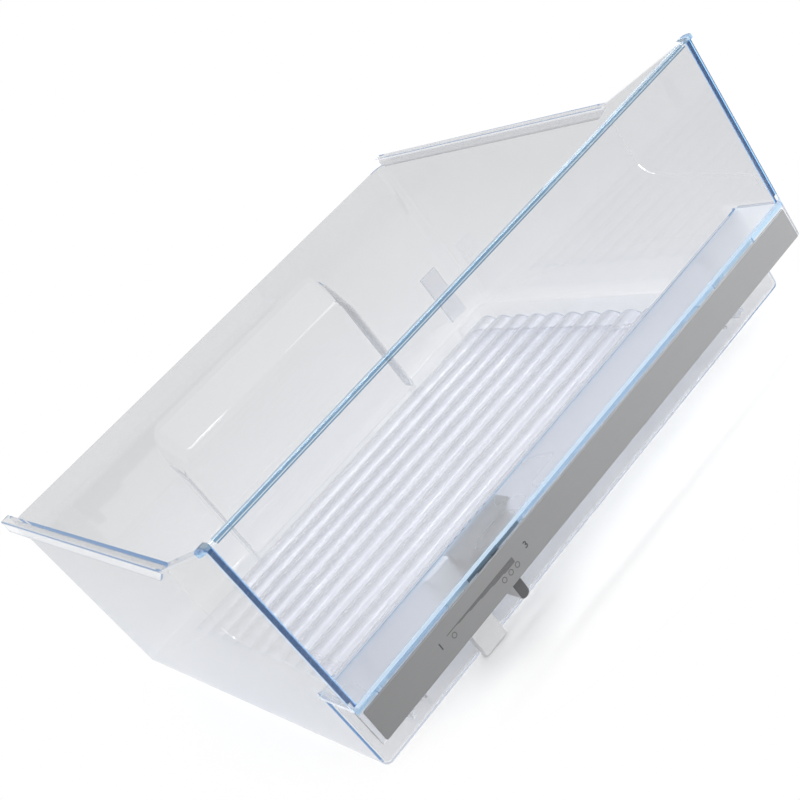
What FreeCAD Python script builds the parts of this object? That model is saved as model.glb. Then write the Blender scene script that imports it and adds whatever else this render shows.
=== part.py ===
import FreeCAD, Part
import os
from types import SimpleNamespace
import Sketcher

# Clear crisper drawer of a refrigerator.
# Millimetres. +X is to the right seen from the front, +Y goes back into the cabinet, +Z is up.
# Inside each body Y starts at the trim strip's front face and Z at the underside of the floor.
# The bodies are then shifted forward so that the origin lies under the middle of the drawer.

doc = FreeCAD.newDocument("crisper_drawer")

DIMENSIONS = {
    # clear tray
    "base_width": 493.0,
    "side_lean": 3.5,
    "rear_lean": 11.0,
    "tray_length": 412.5,
    "wall": 2.5,
    "floor_thickness": 2.5,
    "rim_height": 185.0,
    "rim_overhang": 6.0,
    "rim_thickness": 2.5,
    "lip_drop": 12.0,
    "lip_thickness": 2.2,
    "lip_taper": 16.0,
    "rim_radius": 0.88,
    "back_drop": 7.5,
    "rear_corner_radius": 12.0,
    "front_corner_radius": 5.5,
    "base_radius": 5.0,
    # forward wings of the side walls, stepped outward from them
    "wing_length": 115.0,
    "wing_step": 2.2,
    "wing_front_rise": 5.0,
    "wing_toe_rise": 27.0,
    "wing_heel_rise": 42.0,
    "wing_toe_length": 8.0,
    "wing_radius": 18.0,
    # hump moulded into the back wall
    "hump_offset": 4.0,
    "hump_width": 236.0,
    "hump_reach": 19.0,
    "hump_shoulder": 118.0,
    "hump_top": 153.0,
    "hump_lean": 5.0,
    "hump_corner_radius": 18.0,
    "hump_radius": 7.0,
    "hump_roof_thickness": 3.5,
    "hump_shoulder_drop": 1.25,
    "recess_overrun": 5.0,
    # front panel with its ledge and skirt
    "panel_height": 145.0,
    "panel_thickness": 3.0,
    "bead_depth": 5.0,
    "bead_height": 3.0,
    "bead_radius": 0.75,
    "ear_reach": 5.0,
    "ear_depth": 10.0,
    "ear_radius": 4.0,
    "ledge_height": 77.0,
    "ledge_thickness": 3.0,
    "ledge_depth": 39.5,
    "skirt_drop": 29.5,
    # silver strip on the skirt
    "trim_depth": 1.5,
    "trim_height": 26.2,
    "trim_lower_gap": 0.6,
    "trim_end_gap": 3.0,
    "trim_radius": 1.2,
    "trim_face_radius": 0.5,
    # stiffening gussets under the ledge
    "gusset_left_inset": 32.5,
    "gusset_right_inset": 58.5,
    "gusset_thickness": 3.0,
    "gusset_depth": 14.0,
    "gusset_height": 57.5,
    "gusset_bevel": 5.0,
    # humidity control: vents, guide rail, slide and its shoe
    "slide_centre": -95.0,
    "slide_width": 58.0,
    "slide_travel": 60.0,
    "slide_thickness": 2.0,
    "running_gap": 0.3,
    "rail_drop": 28.0,
    "rail_thickness": 2.0,
    "rail_lip": 6.0,
    "rail_overrun": 4.0,
    "vent_width": 3.0,
    "vent_height": 16.0,
    "vent_pitch": 8.0,
    "vent_count": 6.0,
    "web_thickness": 2.5,
    "web_reach_right": 14.5,
    "web_reach_left": 29.0,
    "knob_offset": -14.8,
    "knob_width": 8.8,
    "knob_drop": 16.9,
    "knob_radius": 4.0,
    "knob_face_radius": 1.0,
    "knob_gap": 0.8,
    "shoe_width": 22.4,
    "shoe_depth": 6.2,
    "shoe_ground_gap": 0.6,
    "shoe_radius": 0.6,
    # corrugated floor insert
    "ridge_count": 13.0,
    "ridge_height": 4.5,
    "insert_width": 410.0,
    "insert_thickness": 1.9,
    "insert_rear_gap": 32.0,
    "insert_front_gap": 14.55,
    "insert_lift": 8.4,
    "insert_rib_thickness": 2.0,
    "insert_rib_inset": 14.0,
    # small stop on the outside of the back wall
    "stop_inset": 30.0,
    "stop_width": 22.0,
    "stop_height": 56.0,
    "stop_base": 7.5,
    "stop_thickness": 3.0,
    "stop_radius": 1.5,
}
sheet = doc.addObject("Spreadsheet::Sheet", "dims")
for row, (alias, number) in enumerate(DIMENSIONS.items(), start=1):
    sheet.set(f"A{row}", alias)
    sheet.set(f"B{row}", str(number))
    sheet.setAlias(f"B{row}", alias)
doc.recompute()


class Length:
    """An expression of the driving dimensions, with the number that it has now."""

    def __init__(self, text, value):
        self.text = text
        self.value = value

    def __add__(self, other):
        other = length(other)
        return Length(f"({self.text} + {other.text})", self.value + other.value)

    def __sub__(self, other):
        other = length(other)
        return Length(f"({self.text} - {other.text})", self.value - other.value)

    def __mul__(self, other):
        other = length(other)
        return Length(f"({self.text} * {other.text})", self.value * other.value)

    def __truediv__(self, other):
        other = length(other)
        return Length(f"({self.text} / {other.text})", self.value / other.value)

    def __neg__(self):
        return Length(f"(-1 * {self.text})", -self.value)


def length(item):
    """A Length, also from a plain number."""
    return item if isinstance(item, Length) else Length(str(item), float(item))


dim = SimpleNamespace(**{
    alias: Length(f"dims.{alias}", float(sheet.get(alias))) for alias in DIMENSIONS})

# Places that several pieces share
PANEL_FACE = dim.trim_depth
PANEL_BACK = PANEL_FACE + dim.panel_thickness
FRONT_WALL = PANEL_BACK + dim.ledge_depth
FRONT_WALL_INSIDE = FRONT_WALL + dim.wall
REAR_TOP = FRONT_WALL + dim.tray_length
WING_ROOT = PANEL_BACK + dim.wing_length
EAR_BACK = PANEL_FACE + dim.ear_depth
PANEL_TOP = dim.ledge_height + dim.panel_height
WING_TOP = PANEL_TOP - dim.bead_height
LEDGE_UNDERSIDE = dim.ledge_height - dim.ledge_thickness
SKIRT_BOTTOM = LEDGE_UNDERSIDE - dim.skirt_drop
BACK_TOP = dim.rim_height - dim.back_drop
RIM_OUTER = dim.base_width / 2 + dim.side_lean + dim.rim_overhang
HUMP_FACE = REAR_TOP - dim.rear_lean - dim.hump_reach
SLIDE_BACK = FRONT_WALL - dim.running_gap
SLIDE_FACE = SLIDE_BACK - dim.slide_thickness
SLIDE_TOP = LEDGE_UNDERSIDE - dim.running_gap
SLIDE_LEFT = dim.slide_centre - dim.slide_width / 2
SLIDE_RIGHT = dim.slide_centre + dim.slide_width / 2
SHOE_LEFT = SLIDE_LEFT - dim.shoe_width
RAIL_BOTTOM = LEDGE_UNDERSIDE - dim.rail_drop
RAIL_TOP = RAIL_BOTTOM + dim.rail_thickness
RAIL_BACK = SLIDE_FACE - dim.running_gap
RAIL_FACE = RAIL_BACK - dim.rail_thickness
SLIDE_BOTTOM = RAIL_TOP + dim.running_gap
KNOB_FACE = PANEL_BACK + dim.knob_gap
KNOB_CENTRE = dim.slide_centre + dim.knob_offset
INSERT_SEAT = dim.floor_thickness + dim.insert_lift
INSERT_REAR = HUMP_FACE - dim.insert_rear_gap
INSERT_FRONT = FRONT_WALL_INSIDE + dim.insert_front_gap
RIDGE_PITCH = (INSERT_REAR - INSERT_FRONT) / dim.ridge_count
STOP_CENTRE = dim.base_width / 2 - dim.stop_inset
CLEAR = dim.wall * 4


def half_width(height):
    """Half the outside width of the leaning side walls at a height."""
    return dim.base_width / 2 + dim.side_lean * height / dim.rim_height


def panel_half_width(height):
    """Half the width across the stepped wings, which is the front panel's too."""
    return half_width(length(height)) + dim.wing_step


def rear_face(height):
    """Distance back to the outside of the leaning back wall at a height."""
    return REAR_TOP - dim.rear_lean + dim.rear_lean * height / dim.rim_height


def new_body(name):
    """An empty body named after its piece."""
    body = doc.addObject("PartDesign::Body", name)
    body.Label = name
    return body


def origin_part(body, role):
    """One of the body's own origin planes or axes."""
    return next(item for item in body.Origin.OriginFeatures if item.Role == role)


def outline(body, name, role, offset, *loops):
    """Closed polygons on an origin plane, each corner held by two bound distances."""
    sketch = body.newObject("Sketcher::SketchObject", name)
    sketch.AttachmentSupport = [(origin_part(body, role), "")]
    sketch.MapMode = "FlatFace"
    sketch.setExpression(".AttachmentOffset.Base.z", length(offset).text)
    for loop in loops:
        first = sketch.GeometryCount
        corners = [(length(u), length(v)) for u, v in loop]
        points = [FreeCAD.Vector(u.value, v.value, 0) for u, v in corners]
        for start, end in zip(points, points[1:] + points[:1]):
            sketch.addGeometry(Part.LineSegment(start, end), False)
        for index, (u, v) in enumerate(corners):
            line = first + index
            following = first + (index + 1) % len(corners)
            sketch.addConstraint(Sketcher.Constraint("Coincident", line, 2, following, 1))
            bind(sketch, Sketcher.Constraint("DistanceX", -1, 1, line, 1, u.value), u)
            bind(sketch, Sketcher.Constraint("DistanceY", -1, 1, line, 1, v.value), v)
    return sketch


def bind(sketch, constraint, value):
    """One constraint whose value follows the driving dimensions."""
    index = sketch.addConstraint(constraint)
    sketch.setExpression(f"Constraints[{index}]", value.text)


def side_outline(body, name, x, *loops):
    """Polygons of (Y, Z) corners on an upright plane that faces sideways."""
    return outline(body, name, "YZ_Plane", x, *loops)


def front_outline(body, name, y, *loops):
    """Polygons of (X, Z) corners on an upright plane that faces the front."""
    return outline(body, name, "XZ_Plane", -length(y), *loops)


def level_outline(body, name, z, *loops):
    """Polygons of (X, Y) corners on a level plane."""
    return outline(body, name, "XY_Plane", z, *loops)


def rectangle(left, right, low, high):
    """The four corners of a rectangle."""
    return [(left, low), (right, low), (right, high), (left, high)]


def mirrored(loop):
    """The same polygon on the other side of the drawer's middle plane."""
    return [(-length(u), v) for u, v in reversed(loop)]


def extrude(body, kind, name, sketch, distance, both_ways=False):
    """A pad or a pocket, toward the back from an upright front outline."""
    before = body.Shape.Volume if kind == "Pocket" else 0.0
    feature = body.newObject(f"PartDesign::{kind}", name)
    feature.Profile = sketch
    feature.setExpression("Length", length(distance).text)
    faces_front = sketch.AttachmentSupport[0][0].Role == "XZ_Plane"
    feature.Reversed = faces_front and kind == "Pad"
    feature.Midplane = both_ways
    doc.recompute()
    if kind == "Pocket":
        assert feature.Shape.Volume < before, f"{name} cut nothing"
    return feature


def row(body, name, original, axis, pitch, count):
    """Equal copies of a feature in a row against an origin axis."""
    feature = body.newObject("PartDesign::LinearPattern", name)
    feature.Originals = [original]
    feature.Direction = (origin_part(body, axis), [""])
    feature.Mode = "Spacing"
    feature.Reversed = True
    feature.setExpression("Offset", pitch.text)
    feature.setExpression("Occurrences", count.text)
    body.Tip = feature
    doc.recompute()
    return feature


def round_edges(body, name, radius, wanted):
    """A fillet on the edges of the body so far that a test picks out."""
    base = body.Tip
    edges = [f"Edge{number}" for number, edge in enumerate(base.Shape.Edges, start=1)
             if wanted(edge)]
    assert edges, f"{name} found no edge"
    feature = body.newObject("PartDesign::Fillet", name)
    feature.Base = (base, edges)
    feature.setExpression("Radius", length(radius).text)
    doc.recompute()
    return feature


def runs_along(edge, axis):
    """Whether an edge is straight and nearly parallel to an axis, walls' lean allowed."""
    if len(edge.Vertexes) != 2:
        return False
    chord = edge.Vertexes[1].Point - edge.Vertexes[0].Point
    return abs(chord.dot(axis)) > 0.98 * edge.Length


def lies_at(number, place):
    """Whether a coordinate is at a place, to a small part of a millimetre."""
    return abs(number - length(place).value) < 0.05


def middle(edge):
    """The middle of an edge's box."""
    return edge.BoundBox.Center


ALONG_X = FreeCAD.Vector(1, 0, 0)
ALONG_Y = FreeCAD.Vector(0, 1, 0)
ALONG_Z = FreeCAD.Vector(0, 0, 1)


# Clear tray

def leaning_block(body, name, bottom, top, front, inset):
    """A block with leaning sides and back, moved inward from the tray's outside."""
    side_low = half_width(length(bottom)) - inset
    side_high = half_width(length(top)) - inset
    rear_low = rear_face(length(bottom)) - inset
    rear_high = rear_face(length(top)) - inset
    section = front_outline(body, f"{name}_section", front, [
        (-side_low, bottom), (side_low, bottom), (side_high, top), (-side_high, top)])
    extrude(body, "Pad", name, section, rear_high - front)
    wedge = side_outline(body, f"{name}_back_outline", 0, [
        (rear_low, bottom), (rear_high + 1, bottom), (rear_high + 1, top), (rear_high, top)])
    extrude(body, "Pocket", f"{name}_back", wedge, side_high * 2 + 2, both_ways=True)


def tray_outside(body):
    """The leaning outside of the tray, solid for now, with its rounded corners."""
    leaning_block(body, "outside", 0, dim.rim_height, FRONT_WALL, 0)
    round_edges(body, "rear_corners", dim.rear_corner_radius, lambda edge: (
        runs_along(edge, ALONG_Z) and middle(edge).y > REAR_TOP.value / 2))
    round_edges(body, "front_corners", dim.front_corner_radius, lambda edge: (
        runs_along(edge, ALONG_Z) and lies_at(middle(edge).y, FRONT_WALL)))
    round_edges(body, "base_edges", dim.base_radius, lambda edge: edge.BoundBox.ZMax < 0.01)


def tray_inside():
    """The space inside the tray, as a body that is taken out of it."""
    body = new_body("tray_inside")
    leaning_block(body, "cavity", dim.floor_thickness, PANEL_TOP, FRONT_WALL_INSIDE, dim.wall)
    round_edges(body, "cavity_rear_corners", dim.rear_corner_radius - dim.wall, lambda edge: (
        runs_along(edge, ALONG_Z) and middle(edge).y > REAR_TOP.value / 2))
    round_edges(body, "cavity_front_corners", dim.front_corner_radius - dim.wall, lambda edge: (
        runs_along(edge, ALONG_Z) and lies_at(middle(edge).y, FRONT_WALL_INSIDE)))
    round_edges(body, "cavity_base_edges", dim.base_radius - dim.floor_thickness, lambda edge: (
        lies_at(edge.BoundBox.ZMax, dim.floor_thickness)))
    return body


def tray_wings(body):
    """Side walls carried forward to the panel, with the stepped-out wings on them."""
    reach = FRONT_WALL_INSIDE + dim.front_corner_radius
    cheeks = front_outline(body, "cheek_outline", PANEL_BACK, [
        (-half_width(dim.ledge_height), dim.ledge_height),
        (half_width(dim.ledge_height), dim.ledge_height),
        (half_width(dim.rim_height), dim.rim_height),
        (-half_width(dim.rim_height), dim.rim_height)])
    extrude(body, "Pad", "cheeks", cheeks, reach - PANEL_BACK)
    toe = dim.ledge_height + dim.wing_toe_rise
    heel = dim.ledge_height + dim.wing_heel_rise
    wing = side_outline(body, "wing_outline", 0, [
        (PANEL_BACK, dim.ledge_height + dim.wing_front_rise),
        (PANEL_BACK + dim.wing_toe_length, toe),
        (WING_ROOT, heel),
        (WING_ROOT, dim.rim_height),
        (EAR_BACK, WING_TOP),
        (PANEL_BACK, WING_TOP)])
    block = panel_half_width(PANEL_TOP) + dim.rim_overhang
    extrude(body, "Pad", "wings", wing, block * 2, both_ways=True)
    round_edges(body, "wing_heels", dim.wing_radius, lambda edge: (
        runs_along(edge, ALONG_X) and lies_at(middle(edge).y, WING_ROOT)
        and lies_at(middle(edge).z, heel)))
    lean = [
        (panel_half_width(dim.ledge_height), dim.ledge_height),
        (block + 1, dim.ledge_height),
        (block + 1, PANEL_TOP),
        (panel_half_width(PANEL_TOP), PANEL_TOP)]
    outside = front_outline(body, "wing_lean", PANEL_BACK, lean, mirrored(lean))
    extrude(body, "Pocket", "wing_faces", outside, dim.wing_length)


def tray_rims(body):
    """Rims along the side walls with a turned-down lip, and their ramps up the wings."""
    root = half_width(dim.rim_height) - dim.wall
    under = dim.rim_height - dim.rim_thickness
    rim = rectangle(root, RIM_OUTER, under, dim.rim_height)
    rims = front_outline(body, "rim_outline", WING_ROOT, rim, mirrored(rim))
    extrude(body, "Pad", "rims", rims, REAR_TOP - WING_ROOT)
    ramp = side_outline(body, "ramp_outline", 0, [
        (EAR_BACK, WING_TOP),
        (EAR_BACK, WING_TOP - dim.rim_thickness),
        (WING_ROOT, under),
        (WING_ROOT, dim.rim_height)])
    extrude(body, "Pad", "ramps", ramp, RIM_OUTER * 2, both_ways=True)
    lip_bottom = dim.rim_height - dim.lip_drop
    for side, x in (("left", -RIM_OUTER), ("right", RIM_OUTER - dim.lip_thickness)):
        lip = side_outline(body, f"lip_{side}_outline", x, [
            (WING_ROOT, dim.rim_height),
            (WING_ROOT, under),
            (WING_ROOT + dim.lip_taper, lip_bottom),
            (REAR_TOP, lip_bottom),
            (REAR_TOP, dim.rim_height)])
        extrude(body, "Pad", f"lip_{side}", lip, dim.lip_thickness)
    round_edges(body, "rim_edges", dim.rim_radius, lambda edge: (
        (runs_along(edge, ALONG_Y) or abs(edge.BoundBox.ZMin - dim.rim_height.value) < 0.01)
        and lies_at(abs(middle(edge).x), RIM_OUTER) and edge.BoundBox.ZMax > under.value))


def take_out(body, name, space):
    """Another body's shape cut out of a body."""
    cut = body.newObject("PartDesign::Boolean", name)
    cut.Type = "Cut"
    cut.Group = [space]
    doc.recompute()


def tray_hollow(body):
    """The inside of the tray, open at the top, and the open space behind the panel."""
    take_out(body, "inside", tray_inside())
    inside = dim.wall
    mouth = front_outline(body, "mouth_outline", PANEL_BACK - 1, [
        (-half_width(dim.ledge_height) + inside, dim.ledge_height),
        (half_width(dim.ledge_height) - inside, dim.ledge_height),
        (half_width(PANEL_TOP) - inside, PANEL_TOP),
        (-half_width(PANEL_TOP) + inside, PANEL_TOP)])
    extrude(body, "Pocket", "mouth", mouth, FRONT_WALL_INSIDE - PANEL_BACK + CLEAR)
    edge_of_notch = half_width(dim.rim_height) - dim.wall
    drop = front_outline(body, "back_drop_outline", REAR_TOP - CLEAR * 2, rectangle(
        -edge_of_notch, edge_of_notch, BACK_TOP, dim.rim_height + 1))
    extrude(body, "Pocket", "back_drop", drop, CLEAR * 3)


def hump_block(body, name, hollow, below):
    """The hump, or with hollow 1 the space inside it, from a level up to the back wall."""
    inset = dim.wall * hollow
    overrun = dim.recess_overrun * hollow
    side = dim.hump_width / 2 - inset
    shoulder = dim.hump_shoulder - dim.hump_shoulder_drop * hollow
    roof = dim.hump_top - dim.hump_roof_thickness * hollow
    foot = rear_face(dim.base_radius)
    section = side_outline(body, f"{name}_outline", dim.hump_offset, [
        (HUMP_FACE + inset, below),
        (HUMP_FACE + dim.hump_lean + inset, shoulder),
        (rear_face(roof) - dim.wall / 2 + overrun, roof),
        (foot - dim.wall / 2 + overrun, dim.base_radius),
        (foot - dim.base_radius * (1 - hollow) + overrun, below)])
    extrude(body, "Pad", name, section, side * 2, both_ways=True)
    round_edges(body, f"{name}_corners", dim.hump_corner_radius - inset, lambda edge: (
        lies_at(abs(middle(edge).x - dim.hump_offset.value), side)
        and middle(edge).z > shoulder.value))
    slope = dim.hump_lean / (shoulder - below)
    round_edges(body, f"{name}_edges", dim.hump_radius - inset, lambda edge: (
        middle(edge).z > dim.base_radius.value and all(
            lies_at(point.Y, HUMP_FACE + inset + slope * (length(point.Z) - below))
            for point in edge.Vertexes)))


def hump_recess():
    """The space inside the hump, as a body that is taken out of it."""
    body = new_body("hump_recess")
    hump_block(body, "recess_block", 1, -dim.floor_thickness)
    return body


def tray_hump(body):
    """The hump in the back wall, hollow from behind and from below."""
    hump_block(body, "hump", 0, dim.floor_thickness / 2)
    take_out(body, "recess", hump_recess())


def tray_front_wall(body):
    """Gussets under the ledge, the vents and the rail that the humidity slide runs in."""
    foot = LEDGE_UNDERSIDE - dim.gusset_height
    for side, centre in (
            ("left", dim.gusset_left_inset - dim.base_width / 2),
            ("right", dim.base_width / 2 - dim.gusset_right_inset)):
        gusset = side_outline(body, f"gusset_{side}_outline", centre, [
            (FRONT_WALL + inside_bite(), foot),
            (FRONT_WALL - dim.gusset_depth + dim.gusset_bevel, foot),
            (FRONT_WALL - dim.gusset_depth, foot + dim.gusset_bevel),
            (FRONT_WALL - dim.gusset_depth, LEDGE_UNDERSIDE),
            (FRONT_WALL + inside_bite(), LEDGE_UNDERSIDE)])
        extrude(body, "Pad", f"gusset_{side}", gusset, dim.gusset_thickness, both_ways=True)
    rail_left = SHOE_LEFT - dim.slide_travel - dim.rail_overrun
    rail_right = SLIDE_RIGHT + dim.rail_overrun
    rail = side_outline(body, "rail_outline", rail_left, [
        (FRONT_WALL + inside_bite(), RAIL_BOTTOM),
        (RAIL_FACE, RAIL_BOTTOM),
        (RAIL_FACE, RAIL_BOTTOM + dim.rail_lip),
        (RAIL_BACK, RAIL_BOTTOM + dim.rail_lip),
        (RAIL_BACK, RAIL_TOP),
        (FRONT_WALL + inside_bite(), RAIL_TOP)])
    extrude(body, "Pad", "rail", rail, rail_right - rail_left)
    last = dim.slide_centre + dim.vent_pitch * (dim.vent_count - 1) / 2
    vent_middle = (RAIL_BOTTOM + dim.rail_lip + LEDGE_UNDERSIDE) / 2
    vent = front_outline(body, "vent_outline", FRONT_WALL - 1, rectangle(
        last - dim.vent_width / 2, last + dim.vent_width / 2,
        vent_middle - dim.vent_height / 2, vent_middle + dim.vent_height / 2))
    slot = extrude(body, "Pocket", "vent", vent, dim.wall + 2)
    row(body, "vents", slot, "X_Axis", dim.vent_pitch, dim.vent_count)


def inside_bite():
    """How far a rib reaches into the wall that it grows from."""
    return dim.wall / 2


def make_tray():
    """The whole clear tray."""
    body = new_body("tray")
    tray_outside(body)
    tray_wings(body)
    tray_rims(body)
    tray_hollow(body)
    tray_hump(body)
    tray_front_wall(body)
    return body


# Front panel

def make_front_panel():
    """Clear plate and skirt, the frosted ledge, the rim bead and the small ears."""
    body = new_body("front_panel")
    plate = front_outline(body, "plate_outline", PANEL_FACE, [
        (-panel_half_width(SKIRT_BOTTOM), SKIRT_BOTTOM),
        (panel_half_width(SKIRT_BOTTOM), SKIRT_BOTTOM),
        (panel_half_width(PANEL_TOP), PANEL_TOP),
        (-panel_half_width(PANEL_TOP), PANEL_TOP)])
    extrude(body, "Pad", "plate", plate, dim.panel_thickness)
    ledge_side = panel_half_width(LEDGE_UNDERSIDE)
    ledge = level_outline(body, "ledge_outline", LEDGE_UNDERSIDE, rectangle(
        -ledge_side, ledge_side, PANEL_FACE + 1, FRONT_WALL))
    extrude(body, "Pad", "ledge", ledge, dim.ledge_thickness)
    top_side = panel_half_width(PANEL_TOP)
    bead = side_outline(body, "bead_outline", 0, rectangle(
        PANEL_FACE, PANEL_FACE + dim.bead_depth, WING_TOP, PANEL_TOP))
    extrude(body, "Pad", "bead", bead, top_side * 2, both_ways=True)
    ear_tip = top_side + dim.ear_reach
    ear_root = half_width(PANEL_TOP) - dim.wall
    ears = rectangle(ear_root, ear_tip, PANEL_FACE, EAR_BACK)
    level = level_outline(body, "ear_outline", WING_TOP, ears, mirrored(ears))
    extrude(body, "Pad", "ears", level, dim.bead_height)
    round_edges(body, "ear_corners", dim.ear_radius, lambda edge: (
        runs_along(edge, ALONG_Z) and lies_at(abs(middle(edge).x), ear_tip)))
    round_edges(body, "top_edges", dim.bead_radius, lambda edge: (
        lies_at(edge.BoundBox.ZMin, PANEL_TOP) and lies_at(edge.BoundBox.ZMax, PANEL_TOP)))
    return body


def make_trim_strip():
    """Thin silver strip on the skirt, with rounded ends."""
    body = new_body("trim_strip")
    half = panel_half_width(SKIRT_BOTTOM) - dim.trim_end_gap
    bottom = SKIRT_BOTTOM + dim.trim_lower_gap
    strip = front_outline(body, "strip_outline", 0, rectangle(
        -half, half, bottom, bottom + dim.trim_height))
    extrude(body, "Pad", "strip", strip, dim.trim_depth)
    round_edges(body, "strip_corners", dim.trim_radius, lambda edge: runs_along(edge, ALONG_Y))
    round_edges(body, "strip_face", dim.trim_face_radius, lambda edge: (
        lies_at(edge.BoundBox.YMin, 0) and lies_at(edge.BoundBox.YMax, 0)))
    return body


# Humidity control

def make_humidity_slider():
    """Shutter plate, web under the ledge and the finger knob behind the skirt."""
    body = new_body("humidity_slider")
    shutter = front_outline(body, "shutter_outline", SLIDE_FACE, rectangle(
        SLIDE_LEFT, SLIDE_RIGHT, SLIDE_BOTTOM, SLIDE_TOP))
    extrude(body, "Pad", "shutter", shutter, dim.slide_thickness)
    web = level_outline(body, "web_outline", SLIDE_TOP - dim.web_thickness, [
        (SLIDE_LEFT, SLIDE_BACK),
        (SLIDE_LEFT, SLIDE_BACK - dim.web_reach_left),
        (SLIDE_RIGHT, SLIDE_BACK - dim.web_reach_right),
        (SLIDE_RIGHT, SLIDE_BACK)])
    extrude(body, "Pad", "web", web, dim.web_thickness)
    over_rail = RAIL_BOTTOM + dim.rail_lip + dim.running_gap
    before_rail = RAIL_FACE - dim.running_gap
    arm = side_outline(body, "arm_outline", KNOB_CENTRE, [
        (KNOB_FACE, SLIDE_TOP),
        (KNOB_FACE, SKIRT_BOTTOM - dim.knob_drop),
        (before_rail, SKIRT_BOTTOM - dim.knob_drop + dim.knob_radius),
        (before_rail, over_rail),
        (SLIDE_BACK, over_rail),
        (SLIDE_BACK, SLIDE_TOP)])
    extrude(body, "Pad", "arm", arm, dim.knob_width, both_ways=True)
    round_edges(body, "knob_end", dim.knob_radius, lambda edge: (
        lies_at(edge.BoundBox.ZMin, SKIRT_BOTTOM - dim.knob_drop)
        and edge.BoundBox.YLength > dim.knob_radius.value))
    round_edges(body, "knob_face", dim.knob_face_radius, lambda edge: (
        lies_at(edge.BoundBox.YMin, KNOB_FACE) and lies_at(edge.BoundBox.YMax, KNOB_FACE)
        and edge.BoundBox.ZMin < RAIL_BOTTOM.value))
    return body


def make_slider_shoe():
    """White block at the shutter's left end, notched over the rail."""
    body = new_body("slider_shoe")
    face = SLIDE_BACK - dim.shoe_depth
    notch = RAIL_FACE - dim.running_gap
    shoe = side_outline(body, "shoe_outline", SHOE_LEFT, [
        (face, dim.shoe_ground_gap),
        (SLIDE_BACK, dim.shoe_ground_gap),
        (SLIDE_BACK, RAIL_BOTTOM - dim.running_gap),
        (notch, RAIL_BOTTOM - dim.running_gap),
        (notch, RAIL_BOTTOM + dim.rail_lip + dim.running_gap),
        (SLIDE_BACK, RAIL_BOTTOM + dim.rail_lip + dim.running_gap),
        (SLIDE_BACK, SLIDE_TOP),
        (face, SLIDE_TOP)])
    extrude(body, "Pad", "shoe", shoe, dim.shoe_width)
    round_edges(body, "shoe_edges", dim.shoe_radius, lambda edge: (
        runs_along(edge, ALONG_Z) and lies_at(middle(edge).y, face)))
    return body


# Corrugated floor insert

def make_floor_insert():
    """A sheet of low arched ridges on two ribs that stand on the tray's floor."""
    body = new_body("floor_insert")
    ridge = body.newObject("Sketcher::SketchObject", "ridge_outline")
    ridge.AttachmentSupport = [(origin_part(body, "YZ_Plane"), "")]
    ridge.MapMode = "FlatFace"
    rear = INSERT_REAR
    front = INSERT_REAR - RIDGE_PITCH
    crown = INSERT_REAR - RIDGE_PITCH / 2
    under = INSERT_SEAT - dim.insert_thickness
    arcs = []
    for base in (INSERT_SEAT, under):
        ends = [FreeCAD.Vector(rear.value, base.value, 0), FreeCAD.Vector(front.value, base.value, 0)]
        top = FreeCAD.Vector(crown.value, base.value + dim.ridge_height.value, 0)
        arcs.append(ridge.addGeometry(Part.Arc(ends[0], top, ends[1]), False))
    for place, vertex in ((rear, 1), (front, 2)):
        points = [FreeCAD.Vector(place.value, z.value, 0) for z in (INSERT_SEAT, under)]
        line = ridge.addGeometry(Part.LineSegment(*points), False)
        for arc, end, z in ((arcs[0], 1, INSERT_SEAT), (arcs[1], 2, under)):
            ridge.addConstraint(Sketcher.Constraint("Coincident", arc, vertex, line, end))
            bind(ridge, Sketcher.Constraint("DistanceX", -1, 1, line, end, place.value), place)
            bind(ridge, Sketcher.Constraint("DistanceY", -1, 1, line, end, z.value), z)
    for arc in arcs:
        radius = arch_radius()
        bind(ridge, Sketcher.Constraint("Radius", arc, radius.value), radius)
    sheet_pad = extrude(body, "Pad", "ridge", ridge, dim.insert_width, both_ways=True)
    row(body, "ridges", sheet_pad, "Y_Axis", RIDGE_PITCH, dim.ridge_count)
    edge_rib = dim.insert_width / 2 - dim.insert_rib_inset
    half = dim.insert_rib_thickness / 2
    ribs = front_outline(body, "rib_outline", INSERT_FRONT, *[
        rectangle(centre - half, centre + half, dim.floor_thickness, under + half)
        for centre in (-edge_rib, edge_rib)])
    extrude(body, "Pad", "ribs", ribs, INSERT_REAR - INSERT_FRONT)
    return body


def arch_radius():
    """Radius of an arch as long as a ridge and as high as it is."""
    half = RIDGE_PITCH / 2
    return (half * half + dim.ridge_height * dim.ridge_height) / (dim.ridge_height * 2)


# Stop on the back wall

def make_rear_stop():
    """Small plate that lies flat on the outside of the leaning back wall."""
    body = new_body("rear_stop")
    top = dim.stop_base + dim.stop_height
    plate = side_outline(body, "stop_outline", STOP_CENTRE, [
        (rear_face(dim.stop_base), dim.stop_base),
        (rear_face(dim.stop_base) + dim.stop_thickness, dim.stop_base),
        (rear_face(top) + dim.stop_thickness, top),
        (rear_face(top), top)])
    extrude(body, "Pad", "stop", plate, dim.stop_width, both_ways=True)
    round_edges(body, "stop_corners", dim.stop_radius, lambda edge: (
        runs_along(edge, ALONG_Y) and edge.Length < CLEAR.value))
    return body


pieces = [
    make_tray(),
    make_front_panel(),
    make_trim_strip(),
    make_humidity_slider(),
    make_slider_shoe(),
    make_floor_insert(),
    make_rear_stop(),
]
# The origin lies under the middle of the drawer, front to back
for piece in pieces:
    piece.setExpression(".Placement.Base.y", (-(REAR_TOP / 2)).text)
doc.recompute()

for item in doc.Objects:
    if "Invalid" in item.State or "Error" in item.State:
        raise RuntimeError(f"{item.Name} failed: {item.State}")
for piece in pieces:
    if piece.Shape.isNull() or not piece.Shape.isValid():
        raise RuntimeError(f"{piece.Label} has no valid shape")

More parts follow.
